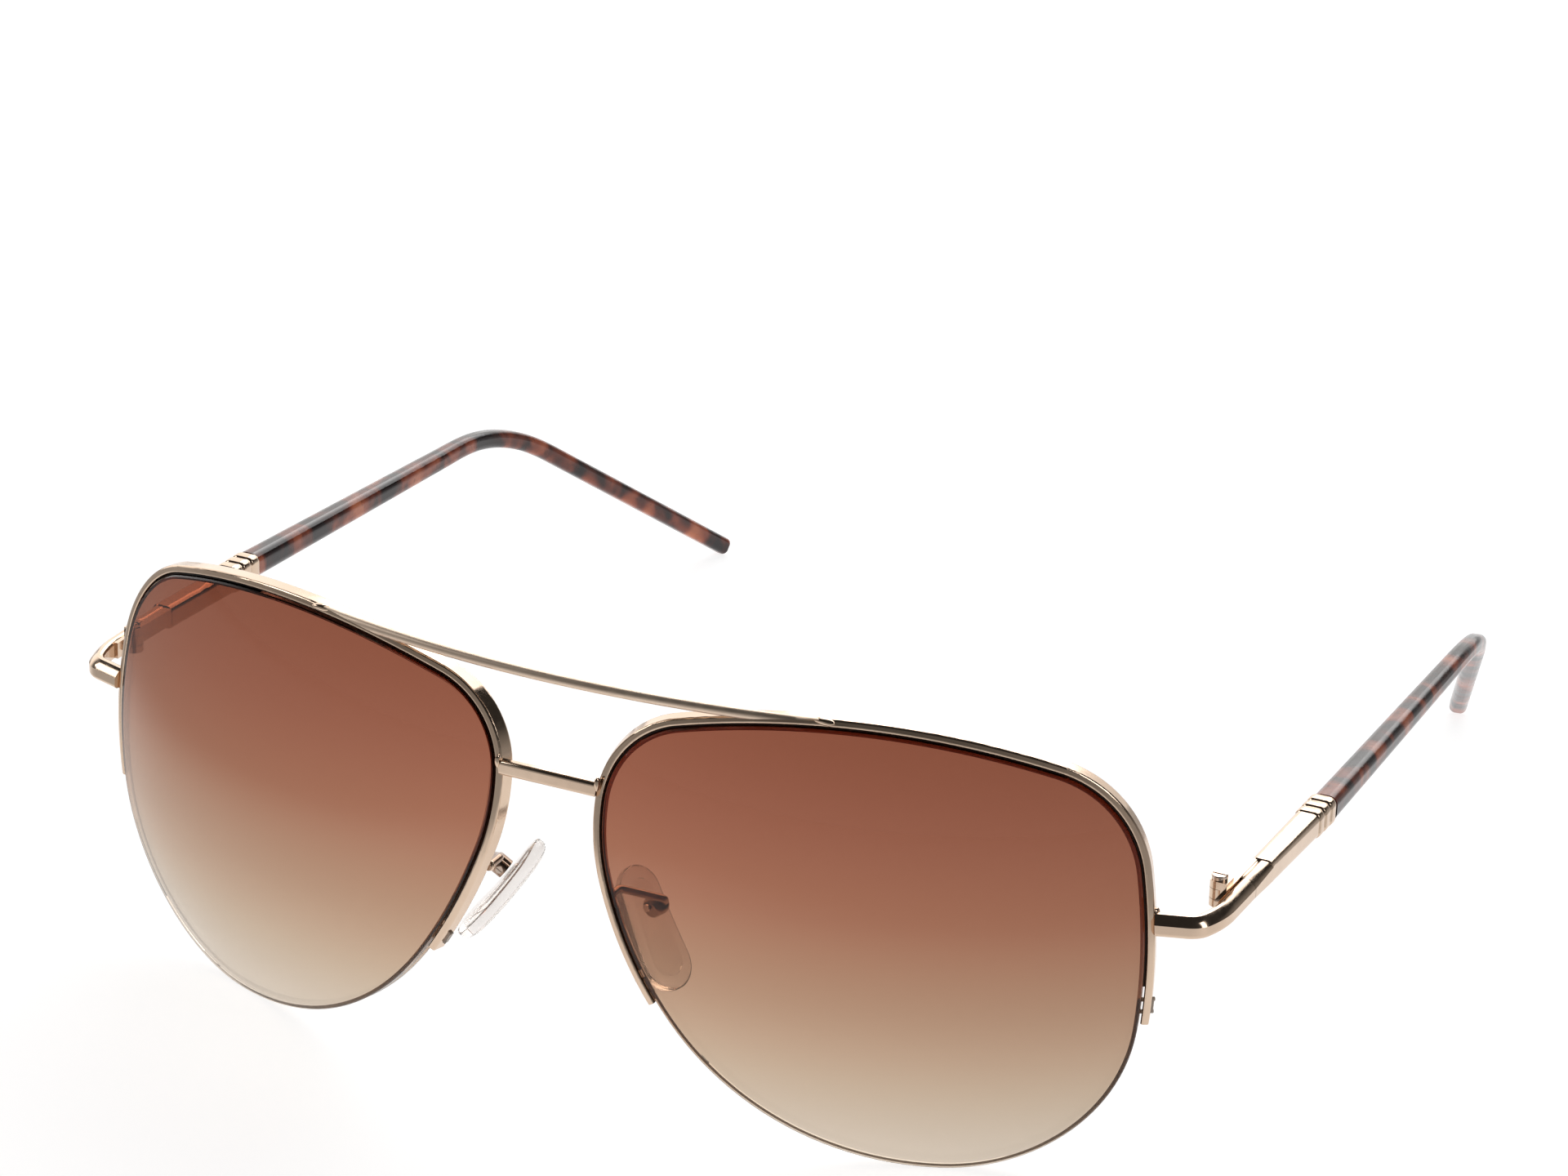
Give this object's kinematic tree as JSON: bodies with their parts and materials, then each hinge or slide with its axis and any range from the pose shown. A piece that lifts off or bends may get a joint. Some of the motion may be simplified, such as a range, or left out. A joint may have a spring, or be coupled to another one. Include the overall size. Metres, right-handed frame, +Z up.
{
  "type": "sunglasses",
  "caption": "Semi-rimless aviator sunglasses: brow bar over a flat bridge, gradient lenses held by nylon line, clear rocking nose pads and folding temples with tortoise sleeves.",
  "frame": {"origin": "on the ground, under the middle of the bounding box of the glasses standing open", "axes": "+X to the wearer's left, +Y from the lenses back to the ears, +Z up"},
  "size_m": [0.1444, 0.154, 0.053],
  "materials": {
    "rose_gold_metal": "polished pale rose-gold plating",
    "tinted_lens": "brown gradient tint, darker at the top, hard coat",
    "clear_liner": "smooth clear strip",
    "nylon_line": "clear monofilament",
    "tortoise_acetate": "polished tortoiseshell, dark brown with amber patches",
    "steel_core": "drawn wire",
    "steel_screw": "turned and plated",
    "clear_silicone": "clear, soft, slightly yellow",
    "clear_insert": "clear moulded"
  },
  "bodies": {
    "front": {"brow_bar": "rose_gold_metal", "bridge": "rose_gold_metal", "lens_left": "tinted_lens", "lens_right": "tinted_lens", "rim_left": "rose_gold_metal", "rim_right": "rose_gold_metal", "rim_liner_left": "clear_liner", "rim_liner_right": "clear_liner", "lens_line_left": "nylon_line", "lens_line_right": "nylon_line", "endpiece_left": "rose_gold_metal", "endpiece_right": "rose_gold_metal", "front_hinge_left": "rose_gold_metal", "front_hinge_right": "rose_gold_metal", "hinge_screw_left": "steel_screw", "hinge_screw_right": "steel_screw", "pad_box_left": "rose_gold_metal", "pad_box_right": "rose_gold_metal", "pad_screw_left": "steel_screw", "pad_screw_right": "steel_screw", "pad_arm_left": "rose_gold_metal", "pad_arm_right": "rose_gold_metal"},
    "temple_left": {"temple_hinge_left": "rose_gold_metal", "temple_bar_left": "rose_gold_metal", "temple_ferrule_left": "rose_gold_metal", "temple_sleeve_left": "tortoise_acetate", "temple_core_left": "steel_core"},
    "temple_right": {"temple_hinge_right": "rose_gold_metal", "temple_bar_right": "rose_gold_metal", "temple_ferrule_right": "rose_gold_metal", "temple_sleeve_right": "tortoise_acetate", "temple_core_right": "steel_core"},
    "nose_pad_left": {"nose_pad_left": "clear_silicone", "pad_insert_left": "clear_insert"},
    "nose_pad_right": {"nose_pad_right": "clear_silicone", "pad_insert_right": "clear_insert"}
  },
  "joints": [
    {"name": "temple_fold_left", "type": "hinge", "parent": "front", "child": "temple_left", "pos_m": [0.069, -0.04923, 0.03235], "axis": [0, 0, 1], "range_deg": [0, 86]},
    {"name": "temple_fold_right", "type": "hinge", "parent": "front", "child": "temple_right", "pos_m": [-0.069, -0.04923, 0.03235], "axis": [0, 0, -1], "range_deg": [0, 78]},
    {"name": "pad_rock_left", "type": "hinge", "parent": "front", "child": "nose_pad_left", "pos_m": [0.0099, -0.06733, 0.02435], "axis": [-0.3188, -0.9425, 0.1002], "range_deg": [-10, 10]},
    {"name": "pad_rock_right", "type": "hinge", "parent": "front", "child": "nose_pad_right", "pos_m": [-0.0099, -0.06733, 0.02435], "axis": [-0.3188, 0.9425, -0.1002], "range_deg": [-10, 10]}
  ]
}
